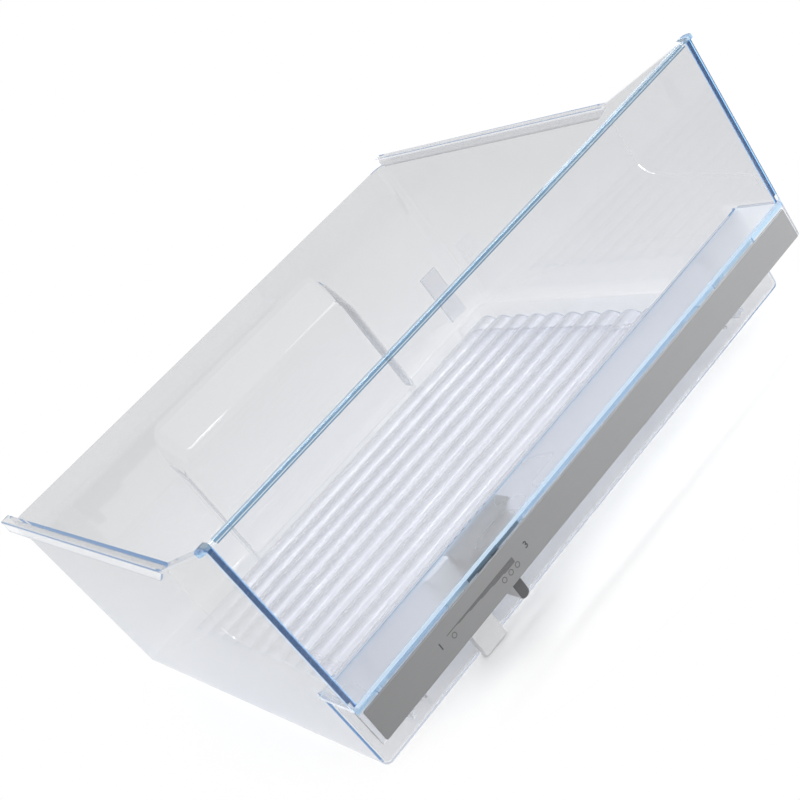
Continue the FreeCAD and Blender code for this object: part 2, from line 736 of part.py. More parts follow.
os.makedirs("parts", exist_ok=True)
for piece in pieces:
    piece.Shape.exportStep(f"parts/{piece.Label}.step")
    box = piece.Shape.BoundBox
    print(f"{piece.Label}: {len(piece.Shape.Solids)} solid, {piece.Shape.Volume / 1000:.1f} cm3,"
          f" X {box.XMin:.1f}..{box.XMax:.1f} Y {box.YMin:.1f}..{box.YMax:.1f}"
          f" Z {box.ZMin:.1f}..{box.ZMax:.1f}")
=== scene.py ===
import math

import bpy
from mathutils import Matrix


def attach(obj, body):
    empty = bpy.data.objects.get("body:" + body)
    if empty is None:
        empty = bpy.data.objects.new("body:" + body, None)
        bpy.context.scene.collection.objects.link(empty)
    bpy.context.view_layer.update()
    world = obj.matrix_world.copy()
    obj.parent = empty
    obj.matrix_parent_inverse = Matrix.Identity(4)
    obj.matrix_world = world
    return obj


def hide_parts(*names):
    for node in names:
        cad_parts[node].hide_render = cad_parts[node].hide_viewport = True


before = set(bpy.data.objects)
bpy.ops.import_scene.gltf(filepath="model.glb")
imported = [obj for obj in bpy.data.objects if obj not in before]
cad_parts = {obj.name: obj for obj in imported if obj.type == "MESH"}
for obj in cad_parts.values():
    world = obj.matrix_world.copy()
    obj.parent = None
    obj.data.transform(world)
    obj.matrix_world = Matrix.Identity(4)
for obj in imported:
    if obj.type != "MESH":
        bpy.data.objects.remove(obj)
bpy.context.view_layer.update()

# Camera, floor and light.
# The drawer stands on white paper under soft light from all round. A long window over its back
# draws the white lines on its ridges, and two soft boxes stand in front of it on the right.

CAMERA_PLACE = (-0.43392, -0.95455, 0.52751)
CAMERA_TURN = (1.090064, 0.594834, -0.715979)
CAMERA_LENS = 63.055
CAMERA_SENSOR = 36.0

camera_data = bpy.data.cameras.new("photo_camera")
camera_data.lens = CAMERA_LENS
camera_data.sensor_width = CAMERA_SENSOR
camera = bpy.data.objects.new("photo_camera", camera_data)
camera.location = CAMERA_PLACE
camera.rotation_euler = CAMERA_TURN
bpy.context.scene.collection.objects.link(camera)
bpy.context.scene.camera = camera
bpy.context.scene.view_settings.view_transform = "Standard"


def add_lamp(name, kind, power, place, aim):
    """A lamp at a place that shines towards another."""
    data = bpy.data.lights.new(name, kind)
    data.energy = power
    lamp = bpy.data.objects.new(name, data)
    lamp.location = place
    reach = [there - here for here, there in zip(place, aim)]
    lamp.rotation_euler = (
        math.atan2(math.hypot(reach[0], reach[1]), -reach[2]), 0.0,
        math.atan2(reach[1], reach[0]) - math.pi / 2)
    bpy.context.scene.collection.objects.link(lamp)
    return data


sun = add_lamp("soft_sun", "SUN", power=0.32, place=(0.4, -0.3, 1.0), aim=(0.0, 0.0, 0.0))
sun.angle = math.radians(50.0)
soft_box = add_lamp(
    "soft_box", "AREA", power=2.2, place=(0.75, -0.75, 0.55), aim=(0.2, -0.2, 0.06))
soft_box.size = 0.5
front_box = add_lamp(
    "front_box", "AREA", power=2.6, place=(0.42, -1.36, 1.26), aim=(-0.1, 0.2, 0.12))
front_box.size = 0.25
window = add_lamp("window", "AREA", power=6.4, place=(0.64, 0.35, 1.56), aim=(0.64, 0.0, 0.0))
window.shape = "RECTANGLE"
window.size = 1.3
window.size_y = 0.22


def rays_that_see(nodes, links):
    """1 on the camera's rays, straight on, mirrored or through something clear."""
    path = nodes.new("ShaderNodeLightPath")
    seen = path.outputs["Is Camera Ray"]
    for kind in ("Is Glossy Ray", "Is Transmission Ray"):
        larger = nodes.new("ShaderNodeMath")
        larger.operation = "MAXIMUM"
        links.new(seen, larger.inputs[0])
        links.new(path.outputs[kind], larger.inputs[1])
        seen = larger.outputs[0]
    return seen


SKY_LIGHT = 0.78   # what the sky gives as light, while it looks plain white itself
world = bpy.data.worlds.new("studio")
world.use_nodes = True
world_nodes = world.node_tree.nodes
world_links = world.node_tree.links
strength = world_nodes.new("ShaderNodeMapRange")
strength.inputs["To Min"].default_value = SKY_LIGHT
strength.inputs["To Max"].default_value = 1.0
world_links.new(rays_that_see(world_nodes, world_links), strength.inputs["Value"])
background = world_nodes["Background"]
background.inputs["Color"].default_value = (1.0, 1.0, 1.0, 1.0)
world_links.new(strength.outputs[0], background.inputs["Strength"])
bpy.context.scene.world = world

FLOOR_SIZE = 12.0
FLOOR_DROP = 0.0006
PAPER = (0.97, 0.97, 0.97, 1.0)
PAPER_ROUGHNESS = 0.9
FADE_START, FADE_END = 0.2, 0.33   # to the eye the paper turns plain white between these radii

bpy.ops.object.select_all(action="DESELECT")
bpy.ops.mesh.primitive_plane_add(size=FLOOR_SIZE, location=(0.0, 0.0, -FLOOR_DROP))
floor = bpy.context.active_object
floor.name = "studio_floor"
paper = bpy.data.materials.new("white_paper")
paper.use_nodes = True
paper_shader = paper.node_tree.nodes["Principled BSDF"]
paper_shader.inputs["Base Color"].default_value = PAPER
paper_shader.inputs["Roughness"].default_value = PAPER_ROUGHNESS
paper_shader.inputs["Specular IOR Level"].default_value = 0.0
paper_nodes = paper.node_tree.nodes
paper_links = paper.node_tree.links
paper_place = paper_nodes.new("ShaderNodeTexCoord")
paper_radius = paper_nodes.new("ShaderNodeVectorMath")
paper_radius.operation = "LENGTH"
paper_links.new(paper_place.outputs["Object"], paper_radius.inputs[0])
fade = paper_nodes.new("ShaderNodeMapRange")
fade.interpolation_type = "SMOOTHSTEP"
fade.inputs["From Min"].default_value = FADE_START
fade.inputs["From Max"].default_value = FADE_END
paper_links.new(paper_radius.outputs["Value"], fade.inputs["Value"])
paper_white = paper_nodes.new("ShaderNodeMath")
paper_white.operation = "MULTIPLY"
paper_links.new(fade.outputs[0], paper_white.inputs[0])
paper_links.new(rays_that_see(paper_nodes, paper_links), paper_white.inputs[1])
plain_white = paper_nodes.new("ShaderNodeEmission")
paper_mix = paper_nodes.new("ShaderNodeMixShader")
paper_links.new(paper_white.outputs[0], paper_mix.inputs[0])
paper_links.new(paper_shader.outputs[0], paper_mix.inputs[1])
paper_links.new(plain_white.outputs[0], paper_mix.inputs[2])
paper_links.new(paper_mix.outputs[0], paper_nodes["Material Output"].inputs["Surface"])
floor.data.materials.append(paper)

# Clear tray.
# One thin-walled moulding of clear styrene with faintly wavy walls. The walls' grey, lighter
# towards their foot, is partly the plastic's own tint and partly painted reflection of darker
# surroundings;
# the floor is clearer, and the lips are left clear so they show no second layer of that grey. Its
# edges are blue because light travels far inside them, drawn as a painted glow where rays are
# trapped.

MIDDLE_DEPTH = 0.22825   # from the strip's front face back to the frame's origin
FAR = 1.0                # past everything, for the sides of a box that is open there
WAVE_DETAIL = 2.0
TINT_SPREAD = (0.96, 1.0)   # the least and the most of a tint, from place to place
GLOSS_SPREAD = (0.6, 1.4)   # and of a roughness
EDGE_MIDDLE = 0.5           # what a mask is at the faces of its box


def build_mould_waves():
    """Node group: a clear moulding's uneven tint, its uneven gloss and its slow waves."""
    group = bpy.data.node_groups.new("mould_waves", "ShaderNodeTree")
    tree = group.interface
    tree.new_socket("Tint", in_out="INPUT", socket_type="NodeSocketColor")
    tree.new_socket("Roughness", in_out="INPUT", socket_type="NodeSocketFloat")
    tree.new_socket("Scale", in_out="INPUT", socket_type="NodeSocketFloat")
    tree.new_socket("Color", in_out="OUTPUT", socket_type="NodeSocketColor")
    tree.new_socket("Roughness", in_out="OUTPUT", socket_type="NodeSocketFloat")
    tree.new_socket("Height", in_out="OUTPUT", socket_type="NodeSocketFloat")
    nodes, links = group.nodes, group.links
    given = nodes.new("NodeGroupInput")
    result = nodes.new("NodeGroupOutput")
    place = nodes.new("ShaderNodeTexCoord")
    waves = nodes.new("ShaderNodeTexNoise")
    waves.inputs["Detail"].default_value = WAVE_DETAIL
    links.new(place.outputs["Object"], waves.inputs["Vector"])
    links.new(given.outputs["Scale"], waves.inputs["Scale"])
    share = nodes.new("ShaderNodeMapRange")
    share.inputs["To Min"].default_value, share.inputs["To Max"].default_value = TINT_SPREAD
    links.new(waves.outputs["Fac"], share.inputs["Value"])
    shade = nodes.new("ShaderNodeVectorMath")
    shade.operation = "SCALE"
    links.new(given.outputs["Tint"], shade.inputs[0])
    links.new(share.outputs[0], shade.inputs["Scale"])
    links.new(shade.outputs[0], result.inputs["Color"])
    gloss = nodes.new("ShaderNodeMapRange")
    gloss.inputs["To Min"].default_value, gloss.inputs["To Max"].default_value = GLOSS_SPREAD
    links.new(waves.outputs["Fac"], gloss.inputs["Value"])
    uneven = nodes.new("ShaderNodeMath")
    uneven.operation = "MULTIPLY"
    links.new(given.outputs["Roughness"], uneven.inputs[0])
    links.new(gloss.outputs[0], uneven.inputs[1])
    links.new(uneven.outputs[0], result.inputs["Roughness"])
    links.new(waves.outputs["Fac"], result.inputs["Height"])
    return group


def build_box_mask():
    """Node group: 1 inside a box, and inside its mirror image on the other side, else 0."""
    group = bpy.data.node_groups.new("box_mask", "ShaderNodeTree")
    tree = group.interface
    tree.new_socket("Lowest", in_out="INPUT", socket_type="NodeSocketVector")
    tree.new_socket("Highest", in_out="INPUT", socket_type="NodeSocketVector")
    tree.new_socket("Softness", in_out="INPUT", socket_type="NodeSocketFloat")
    tree.new_socket("Mask", in_out="OUTPUT", socket_type="NodeSocketFloat")
    nodes, links = group.nodes, group.links
    given = nodes.new("NodeGroupInput")
    result = nodes.new("NodeGroupOutput")
    place = nodes.new("ShaderNodeTexCoord")
    split = nodes.new("ShaderNodeSeparateXYZ")
    links.new(place.outputs["Object"], split.inputs[0])
    fold = nodes.new("ShaderNodeMath")
    fold.operation = "ABSOLUTE"
    links.new(split.outputs["X"], fold.inputs[0])
    lowest = nodes.new("ShaderNodeSeparateXYZ")
    highest = nodes.new("ShaderNodeSeparateXYZ")
    links.new(given.outputs["Lowest"], lowest.inputs[0])
    links.new(given.outputs["Highest"], highest.inputs[0])
    product = None
    for axis, value in (("X", fold.outputs[0]), ("Y", split.outputs["Y"]),
                        ("Z", split.outputs["Z"])):
        for first, second in ((value, lowest.outputs[axis]), (highest.outputs[axis], value)):
            room = nodes.new("ShaderNodeMath")
            room.operation = "SUBTRACT"
            links.new(first, room.inputs[0])
            links.new(second, room.inputs[1])
            ramp = nodes.new("ShaderNodeMath")
            ramp.operation = "DIVIDE"
            links.new(room.outputs[0], ramp.inputs[0])
            links.new(given.outputs["Softness"], ramp.inputs[1])
            edge = nodes.new("ShaderNodeMath")
            edge.operation = "ADD"
            edge.use_clamp = True
            edge.inputs[1].default_value = EDGE_MIDDLE
            links.new(ramp.outputs[0], edge.inputs[0])
            if product is None:
                product = edge
                continue
            both = nodes.new("ShaderNodeMath")
            both.operation = "MULTIPLY"
            links.new(product.outputs[0], both.inputs[0])
            links.new(edge.outputs[0], both.inputs[1])
            product = both
    links.new(product.outputs[0], result.inputs["Mask"])
    return group


mould_waves = build_mould_waves()
box_mask = build_box_mask()


class Finish:
    """A node material while it is being put together."""

    def __init__(self, name):
        self.material = bpy.data.materials.new(name)
        self.material.use_nodes = True
        self.nodes = self.material.node_tree.nodes
        self.links = self.material.node_tree.links
        self.shader = self.nodes["Principled BSDF"]

    def feed(self, socket, value):
        """Give an input another node's output, or a plain number or colour."""
        if isinstance(value, bpy.types.NodeSocket):
            self.links.new(value, socket)
        elif isinstance(value, tuple):
            socket.default_value = (*value, 1.0)
        else:
            socket.default_value = value

    def maths(self, operation, first, second):
        """One sum on two values, each a socket or a number."""
        node = self.nodes.new("ShaderNodeMath")
        node.operation = operation
        self.feed(node.inputs[0], first)
        self.feed(node.inputs[1], second)
        return node.outputs[0]

    def inside(self, low, high, softness=0.0008):
        """Mask of a box: out from the middle, back from the strip's face, and up, in metres."""
        node = self.nodes.new("ShaderNodeGroup")
        node.node_tree = box_mask
        node.inputs["Lowest"].default_value = (low[0], low[1] - MIDDLE_DEPTH, low[2])
        node.inputs["Highest"].default_value = (high[0], high[1] - MIDDLE_DEPTH, high[2])
        node.inputs["Softness"].default_value = softness
        return node.outputs["Mask"]

    def either(self, value, first, second):
        """A colour or a number between two, each a socket or plain, by a mask."""
        mix = self.nodes.new("ShaderNodeMix")
        mix.data_type = "FLOAT" if isinstance(second, float) else "RGBA"
        sockets = {socket.name: socket for socket in mix.inputs if socket.enabled}
        self.feed(sockets["Factor"], value)
        self.feed(sockets["A"], first)
        self.feed(sockets["B"], second)
        return next(socket for socket in mix.outputs if socket.enabled)

    def across(self, left, right):
        """0 at one distance from the middle and 1 at another, along the drawer's front."""
        place = self.nodes.new("ShaderNodeTexCoord")
        split = self.nodes.new("ShaderNodeSeparateXYZ")
        self.links.new(place.outputs["Object"], split.inputs[0])
        ramp = self.nodes.new("ShaderNodeMapRange")
        ramp.inputs["From Min"].default_value = left
        ramp.inputs["From Max"].default_value = right
        self.links.new(split.outputs["X"], ramp.inputs["Value"])
        return ramp.outputs[0]

    def grain(self, scale, detail=3.0, stretch=(1.0, 1.0, 1.0)):
        """Noise on the piece's own coordinates, stretched along its axes."""
        place = self.nodes.new("ShaderNodeTexCoord")
        mapping = self.nodes.new("ShaderNodeMapping")
        mapping.inputs["Scale"].default_value = stretch
        self.links.new(place.outputs["Object"], mapping.inputs["Vector"])
        texture = self.nodes.new("ShaderNodeTexNoise")
        texture.inputs["Scale"].default_value = scale
        texture.inputs["Detail"].default_value = detail
        self.links.new(mapping.outputs["Vector"], texture.inputs["Vector"])
        return texture.outputs["Fac"]

    def bump(self, height, distance, strength):
        """A bump from a height value, in metres."""
        node = self.nodes.new("ShaderNodeBump")
        node.inputs["Distance"].default_value = distance
        node.inputs["Strength"].default_value = strength
        self.links.new(height, node.inputs["Height"])
        self.links.new(node.outputs["Normal"], self.shader.inputs["Normal"])

    def put_on(self, node):
        """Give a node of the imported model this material."""
        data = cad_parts[node].data
        data.materials.clear()
        data.materials.append(self.material)


SHADOW_TINT = (0.95, 0.958, 0.966)
REFRACTION = 1.5
WAVE_HEIGHT = 0.0006
MIRRORED_OFTEN = 2.5   # a ray mirrored three times is trapped between the faces
TURNED_OFTEN = 9.5     # and so is a ray that has met ten faces


def clear_moulding(finish, tint, roughness, scale, deep, ripple):
    """Make a finish clear. Rays trapped between its faces show an emission in the deep colour
    instead: a painted glow standing in for the light that thick edges carry.
    """
    nodes, links, shader = finish.nodes, finish.links, finish.shader
    waves = nodes.new("ShaderNodeGroup")
    waves.node_tree = mould_waves
    waves.inputs["Scale"].default_value = scale
    finish.feed(waves.inputs["Tint"], tint)
    finish.feed(waves.inputs["Roughness"], roughness)
    links.new(waves.outputs["Color"], shader.inputs["Base Color"])
    links.new(waves.outputs["Roughness"], shader.inputs["Roughness"])
    finish.bump(waves.outputs["Height"], WAVE_HEIGHT, ripple)
    shader.inputs["Transmission Weight"].default_value = 1.0
    shader.inputs["IOR"].default_value = REFRACTION
    path = nodes.new("ShaderNodeLightPath")
    held = finish.maths(
        "MAXIMUM",
        finish.maths("GREATER_THAN", path.outputs["Glossy Depth"], MIRRORED_OFTEN),
        finish.maths("GREATER_THAN", path.outputs["Ray Depth"], TURNED_OFTEN))
    # painted glow: the emission that trapped rays show in place of the clear shader
    glow = nodes.new("ShaderNodeEmission")
    finish.feed(glow.inputs["Color"], deep)
    edged = nodes.new("ShaderNodeMixShader")
    links.new(held, edged.inputs[0])
    links.new(shader.outputs[0], edged.inputs[1])
    links.new(glow.outputs[0], edged.inputs[2])
    through = nodes.new("ShaderNodeBsdfTransparent")
    finish.feed(through.inputs["Color"], SHADOW_TINT)
    lit = nodes.new("ShaderNodeMixShader")
    links.new(path.outputs["Is Shadow Ray"], lit.inputs[0])
    links.new(edged.outputs[0], lit.inputs[1])
    links.new(through.outputs[0], lit.inputs[2])
    links.new(lit.outputs[0], nodes["Material Output"].inputs["Surface"])


WALL_TINT_AND_PAINTED_REFLECTION = (0.722, 0.727, 0.738)
WALL_FOOT_TINT_AND_PAINTED_REFLECTION = (0.8, 0.81, 0.835)
FLOOR_CLEAR = (0.85, 0.855, 0.87)
LIP_CLEAR = (0.98, 0.985, 1.0)
EDGE_BLUE = (0.1, 0.27, 0.55)
FRONT_EDGE = (0.6, 0.65, 0.75)
WING_DEPTH = (0.72, 0.76, 0.83)
BACK_DEPTH = (0.7, 0.72, 0.76)
LIP_DEPTH = (0.66, 0.7, 0.8)
WALL_ROUGHNESS, FOOT_ROUGHNESS = 0.03, 0.04
ABOVE_FLOOR = ((-FAR, 0.056, 0.012), (FAR, FAR, FAR))
ABOVE_LEDGE = ((-FAR, -FAR, 0.08), (FAR, FAR, FAR))
LIPS = ((0.2536, 0.12, 0.1745), (FAR, FAR, 0.1838))
FRONT_WALL = ((-FAR, -FAR, 0.012), (0.244, 0.056, 0.078))
BASE = ((-FAR, -FAR, -FAR), (0.244, 0.43, 0.012))
WINGS = ((0.24, -FAR, 0.079), (0.2535, 0.125, 0.2165))
BACK_WALL = ((-FAR, 0.41, -FAR), (0.238, FAR, 0.205))
FLOOR_BLEND, LEDGE_BLEND, WALL_BLEND = 0.012, 0.004, 0.14

tray_finish = Finish("clear_tray")
walled = tray_finish.maths(
    "MAXIMUM",
    tray_finish.inside(*ABOVE_FLOOR, FLOOR_BLEND),
    tray_finish.inside(*ABOVE_LEDGE, LEDGE_BLEND))
# Painted reflection: the walls' grey stands partly for darker surroundings they mirror, lighter
# at the foot
high_up = tray_finish.inside(*ABOVE_LEDGE, WALL_BLEND)
walls = tray_finish.either(high_up, WALL_FOOT_TINT_AND_PAINTED_REFLECTION, WALL_TINT_AND_PAINTED_REFLECTION)
tray_tint = tray_finish.either(walled, FLOOR_CLEAR, walls)
lips = tray_finish.inside(*LIPS)
tray_tint = tray_finish.either(lips, tray_tint, LIP_CLEAR)
# Painted glow for rays trapped in the walls: blue in most walls, paler in the front wall, base,
# wings, back wall and lips
low_parts = tray_finish.maths(
    "MAXIMUM", tray_finish.inside(*FRONT_WALL), tray_finish.inside(*BASE))
tray_deep = tray_finish.either(low_parts, EDGE_BLUE, FRONT_EDGE)
tray_deep = tray_finish.either(tray_finish.inside(*WINGS), tray_deep, WING_DEPTH)
tray_deep = tray_finish.either(tray_finish.inside(*BACK_WALL), tray_deep, BACK_DEPTH)
tray_deep = tray_finish.either(lips, tray_deep, LIP_DEPTH)
clear_moulding(
    tray_finish, tray_tint, tray_finish.either(high_up, FOOT_ROUGHNESS, WALL_ROUGHNESS),
    scale=11.0, deep=tray_deep, ripple=0.1)
tray_finish.put_on("tray")

# Front panel.
# A clear plate with a bead along its top, moulded together with the ledge behind it. The ledge
# is frosted, and its edges and the bead gather light and look bright blue, partly the plastic's
# own
# colour and partly painted: tints and emission on the ledge, its root, the ears and the bead
# paint that light, and the bead's dark lines are painted shade.

PLATE_CLEAR = (0.96, 0.965, 0.98)
PLATE_ROUGHNESS, FROST_ROUGHNESS = 0.02, 0.3
BEAD_CORE = (0.93, 0.99, 1.0)
BEAD_PAINTED_EDGE_LINE = (0.05, 0.15, 0.3)
EAR_BLUE = (0.25, 0.45, 0.72)
LEDGE_FROST = (0.82, 0.845, 0.89)
LEDGE_PAINTED_GLOW = (0.035, 0.035, 0.035)
LEDGE_EDGE = (0.5, 0.75, 0.95)
ROOT_PAINTED_BLUE_AND_SHADE = (0.5, 0.7, 0.88)
ROOT_PAINTED_GLOW = (0.02, 0.04, 0.06)
NO_GLOW = (0.0, 0.0, 0.0)
PANEL_EDGE = (0.04, 0.19, 0.5)
SKIRT_DEPTH = (0.45, 0.53, 0.66)
BEAD_DEPTH = (0.85, 0.95, 1.0)
LEDGE_DEPTH = (0.78, 0.82, 0.89)
PLATE_BACK = 0.0048
BEAD_FOOT = 0.2188
LEDGE_FOOT, LEDGE_TOP = 0.0735, 0.0775
BEAD = ((-FAR, -FAR, BEAD_FOOT), (FAR, FAR, FAR))
BEAD_FRONT_LINE = ((-FAR, -FAR, 0.2182), (0.245, 0.0023, 0.2193))
BEAD_BACK_LINE = ((-FAR, 0.0056, BEAD_FOOT), (0.245, FAR, FAR))
EARS = ((0.2525, -FAR, BEAD_FOOT), (FAR, FAR, FAR))
LEDGE = ((-FAR, PLATE_BACK, LEDGE_FOOT), (FAR, FAR, LEDGE_TOP))
LEDGE_RIM = ((-FAR, 0.0434, LEDGE_FOOT), (FAR, FAR, LEDGE_TOP))
LEDGE_ROOT = ((-FAR, -FAR, 0.0718), (FAR, PLATE_BACK, LEDGE_TOP))
SKIRT = ((-FAR, -FAR, -FAR), (0.244, FAR, LEDGE_FOOT))
WING_MEETING = ((0.235, 0.0035, LEDGE_TOP), (FAR, 0.0055, BEAD_FOOT))
LINE_BLEND, EDGE_BLEND = 0.0003, 0.0004
WING_FACE = 0.2487
WING_LEAN = 3.5 / 185.0
WING_THICKNESS = 0.0047
WING_END_PAINTED_GLOW = (
    (0.0, (0.12, 0.34, 0.55)), (0.09, NO_GLOW), (0.74, NO_GLOW),
    (0.86, (0.07, 0.13, 0.2)), (1.0, (0.14, 0.18, 0.22)))

panel_finish = Finish("clear_panel")
bead = panel_finish.inside(*BEAD)
bead_lines = panel_finish.maths(
    "MAXIMUM",
    panel_finish.inside(*BEAD_FRONT_LINE, LINE_BLEND),
    panel_finish.inside(*BEAD_BACK_LINE, LINE_BLEND))
ears = panel_finish.inside(*EARS, EDGE_BLEND)
ledge = panel_finish.inside(*LEDGE)
ledge_rim = panel_finish.inside(*LEDGE_RIM)
ledge_root = panel_finish.inside(*LEDGE_ROOT)

# Where the wings meet the plate's back, an emission ramp paints the light that comes out on both
# sides of their dark blue ends: painted glow
wing_place = panel_finish.nodes.new("ShaderNodeTexCoord")
wing_split = panel_finish.nodes.new("ShaderNodeSeparateXYZ")
panel_finish.links.new(wing_place.outputs["Object"], wing_split.inputs[0])
wing_side = panel_finish.maths("ABSOLUTE", wing_split.outputs["X"], 0.0)
wing_outer = panel_finish.maths(
    "ADD", panel_finish.maths("MULTIPLY", wing_split.outputs["Z"], WING_LEAN), WING_FACE)
wing_inward = panel_finish.maths(
    "DIVIDE", panel_finish.maths("SUBTRACT", wing_outer, wing_side), WING_THICKNESS)
wing_ramp = panel_finish.nodes.new("ShaderNodeValToRGB")
for share, _ in WING_END_PAINTED_GLOW[1:-1]:
    wing_ramp.color_ramp.elements.new(share)
for mark, (_, colour) in zip(wing_ramp.color_ramp.elements, WING_END_PAINTED_GLOW):
    mark.color = (*colour, 1.0)
panel_finish.links.new(wing_inward, wing_ramp.inputs["Fac"])
wing_ends = panel_finish.maths(
    "MULTIPLY", panel_finish.inside(*WING_MEETING, EDGE_BLEND),
    panel_finish.maths("LESS_THAN", wing_inward, 1.0))

# Partly painted light: the blue of the ears, the ledge rim and the ledge root paints the light
# these thick parts carry, the root's darker blue also the shade along the strip's top, and the
# bead's dark lines paint its refracting edges
panel_tint = panel_finish.either(bead, PLATE_CLEAR, BEAD_CORE)
panel_tint = panel_finish.either(bead_lines, panel_tint, BEAD_PAINTED_EDGE_LINE)
panel_tint = panel_finish.either(ears, panel_tint, EAR_BLUE)
panel_tint = panel_finish.either(ledge, panel_tint, LEDGE_FROST)
panel_tint = panel_finish.either(ledge_rim, panel_tint, LEDGE_EDGE)
panel_tint = panel_finish.either(ledge_root, panel_tint, ROOT_PAINTED_BLUE_AND_SHADE)
# Painted glow for rays trapped in the panel: dark blue by default, paler in the middle of the
# skirt, in the ledge and in the bead
panel_deep = panel_finish.either(panel_finish.inside(*SKIRT), PANEL_EDGE, SKIRT_DEPTH)
panel_deep = panel_finish.either(ledge, panel_deep, LEDGE_DEPTH)
panel_deep = panel_finish.either(bead, panel_deep, BEAD_DEPTH)
# Painted glow: emission on the frosted ledge and its root stands in for the light they gather
panel_painted_glow = panel_finish.either(ledge, NO_GLOW, LEDGE_PAINTED_GLOW)
panel_painted_glow = panel_finish.either(ledge_root, panel_painted_glow, ROOT_PAINTED_GLOW)
panel_painted_glow = panel_finish.either(wing_ends, panel_painted_glow, wing_ramp.outputs["Color"])
panel_finish.links.new(panel_painted_glow, panel_finish.shader.inputs["Emission Color"])
panel_finish.shader.inputs["Emission Strength"].default_value = 1.0
clear_moulding(
    panel_finish, panel_tint, panel_finish.either(ledge, PLATE_ROUGHNESS, FROST_ROUGHNESS),
    scale=9.0, deep=panel_deep, ripple=0.03)
panel_finish.put_on("front_panel")

# Silver trim strip.
# Satin silver strip bonded to the skirt. Its base colour is darker to the left and lighter to the
# right, a painted reflection of the uneven light it mirrors.

SILVER_LEFT_PAINTED_SHADE = (0.25, 0.252, 0.256)
SILVER_RIGHT_PAINTED_SHEEN = (0.4, 0.403, 0.41)
STRIP_END = 0.2466
BRUSH_STRETCH = (1.0, 30.0, 30.0)
FLAKE_SPREAD = (0.96, 1.04)
SATIN_ROUGHNESS = (0.36, 0.42)
SATIN_METAL = 0.6

satin = Finish("satin_silver")
brushed = satin.grain(scale=60.0, detail=2.0, stretch=BRUSH_STRETCH)
# Painted reflection: the base colour runs from darker at the left end to lighter at the right end
silver_painted_sheen = satin.either(satin.across(-STRIP_END, STRIP_END), SILVER_LEFT_PAINTED_SHADE, SILVER_RIGHT_PAINTED_SHEEN)
flake = satin.nodes.new("ShaderNodeVectorMath")
flake.operation = "SCALE"
satin.links.new(silver_painted_sheen, flake.inputs[0])
satin.links.new(satin.either(brushed, *FLAKE_SPREAD), flake.inputs["Scale"])
satin.links.new(flake.outputs[0], satin.shader.inputs["Base Color"])
satin.shader.inputs["Metallic"].default_value = SATIN_METAL
satin.links.new(satin.either(brushed, *SATIN_ROUGHNESS), satin.shader.inputs["Roughness"])
satin.put_on("trim_strip")

# Print beside the knob.
# Dark grey ink on the strip: a wedge of fine lines that widens to the right, with one ring and
# the number 1 at its thin end, and three rings and the number 3 at its thick end.

INK_DEPTH = 0.00004
PRINT_FACE = -MIDDLE_DEPTH
WEDGE_LEFT, WEDGE_RIGHT = -0.1735, -0.104
WEDGE_HEIGHT = 0.0604
WEDGE_LINES = 6
LINE_HEIGHT = 0.00042
LINE_PITCH = 0.00075
LINE_ROUNDING = 0.4      # of the line's height
RING_SIZE = 0.0021
RING_LINE = 0.00045
RINGS = ((-0.169, 0.0564), (-0.118, 0.0534), (-0.111, 0.0534), (-0.104, 0.0534))
NUMBERS = (("1", -0.181), ("3", -0.0905))
NUMBER_HEIGHT = 0.005
DIGIT_SHARE = 0.7        # a digit's height over the size of its text
NUMBER_WEIGHT = 0.00012
PRINT_MIDDLE = 0.0583
INK_GREYS = ((0.05, 0.05, 0.053), (0.075, 0.075, 0.08))
INK_ROUGHNESS = (0.45, 0.6)


def print_on_strip(name, place):
    """Give the new flat mesh its thickness, stand it on the strip's face and fix it there."""
    piece = bpy.context.active_object
    piece.name = name
    piece.rotation_euler = (math.pi / 2, 0.0, 0.0)
    piece.location = place
    bpy.ops.object.transform_apply(location=True, rotation=True, scale=True)
    ink_layer = piece.modifiers.new("ink_layer", "SOLIDIFY")
    ink_layer.thickness = INK_DEPTH
    ink_layer.offset = 1.0
    bpy.ops.object.modifier_apply(modifier="ink_layer")
    piece.data.materials.clear()
    piece.data.materials.append(ink.material)
    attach(piece, "drawer")


ink = Finish("grey_ink")
speckle = ink.grain(scale=900.0)
ink.links.new(ink.either(speckle, *INK_GREYS), ink.shader.inputs["Base Color"])
ink.links.new(ink.either(speckle, *INK_ROUGHNESS), ink.shader.inputs["Roughness"])

for step in range(WEDGE_LINES):
    bpy.ops.object.select_all(action="DESELECT")
    reach = (WEDGE_RIGHT - WEDGE_LEFT) * (1.0 - step / WEDGE_LINES)
    bpy.ops.mesh.primitive_plane_add(size=1.0)
    line = bpy.context.active_object
    line.scale = (reach, LINE_HEIGHT, 1.0)
    bpy.ops.object.transform_apply(location=True, rotation=True, scale=True)
    bpy.ops.object.mode_set(mode="EDIT")
    bpy.ops.mesh.select_all(action="SELECT")
    bpy.ops.mesh.bevel(offset=LINE_HEIGHT * LINE_ROUNDING, segments=3, affect="VERTICES")
    bpy.ops.object.mode_set(mode="OBJECT")
    print_on_strip(f"print_line_{step + 1}", (
        WEDGE_RIGHT - reach / 2, PRINT_FACE, WEDGE_HEIGHT - LINE_PITCH * step))

for number, (x, z) in enumerate(RINGS, start=1):
    bpy.ops.object.select_all(action="DESELECT")
    bpy.ops.mesh.primitive_circle_add(vertices=24, radius=RING_SIZE, fill_type="NGON")
    bpy.ops.object.mode_set(mode="EDIT")
    bpy.ops.mesh.select_all(action="SELECT")
    bpy.ops.mesh.inset(thickness=RING_LINE)
    bpy.ops.mesh.delete(type="FACE")
    bpy.ops.object.mode_set(mode="OBJECT")
    print_on_strip(f"print_ring_{number}", (x, PRINT_FACE, z))

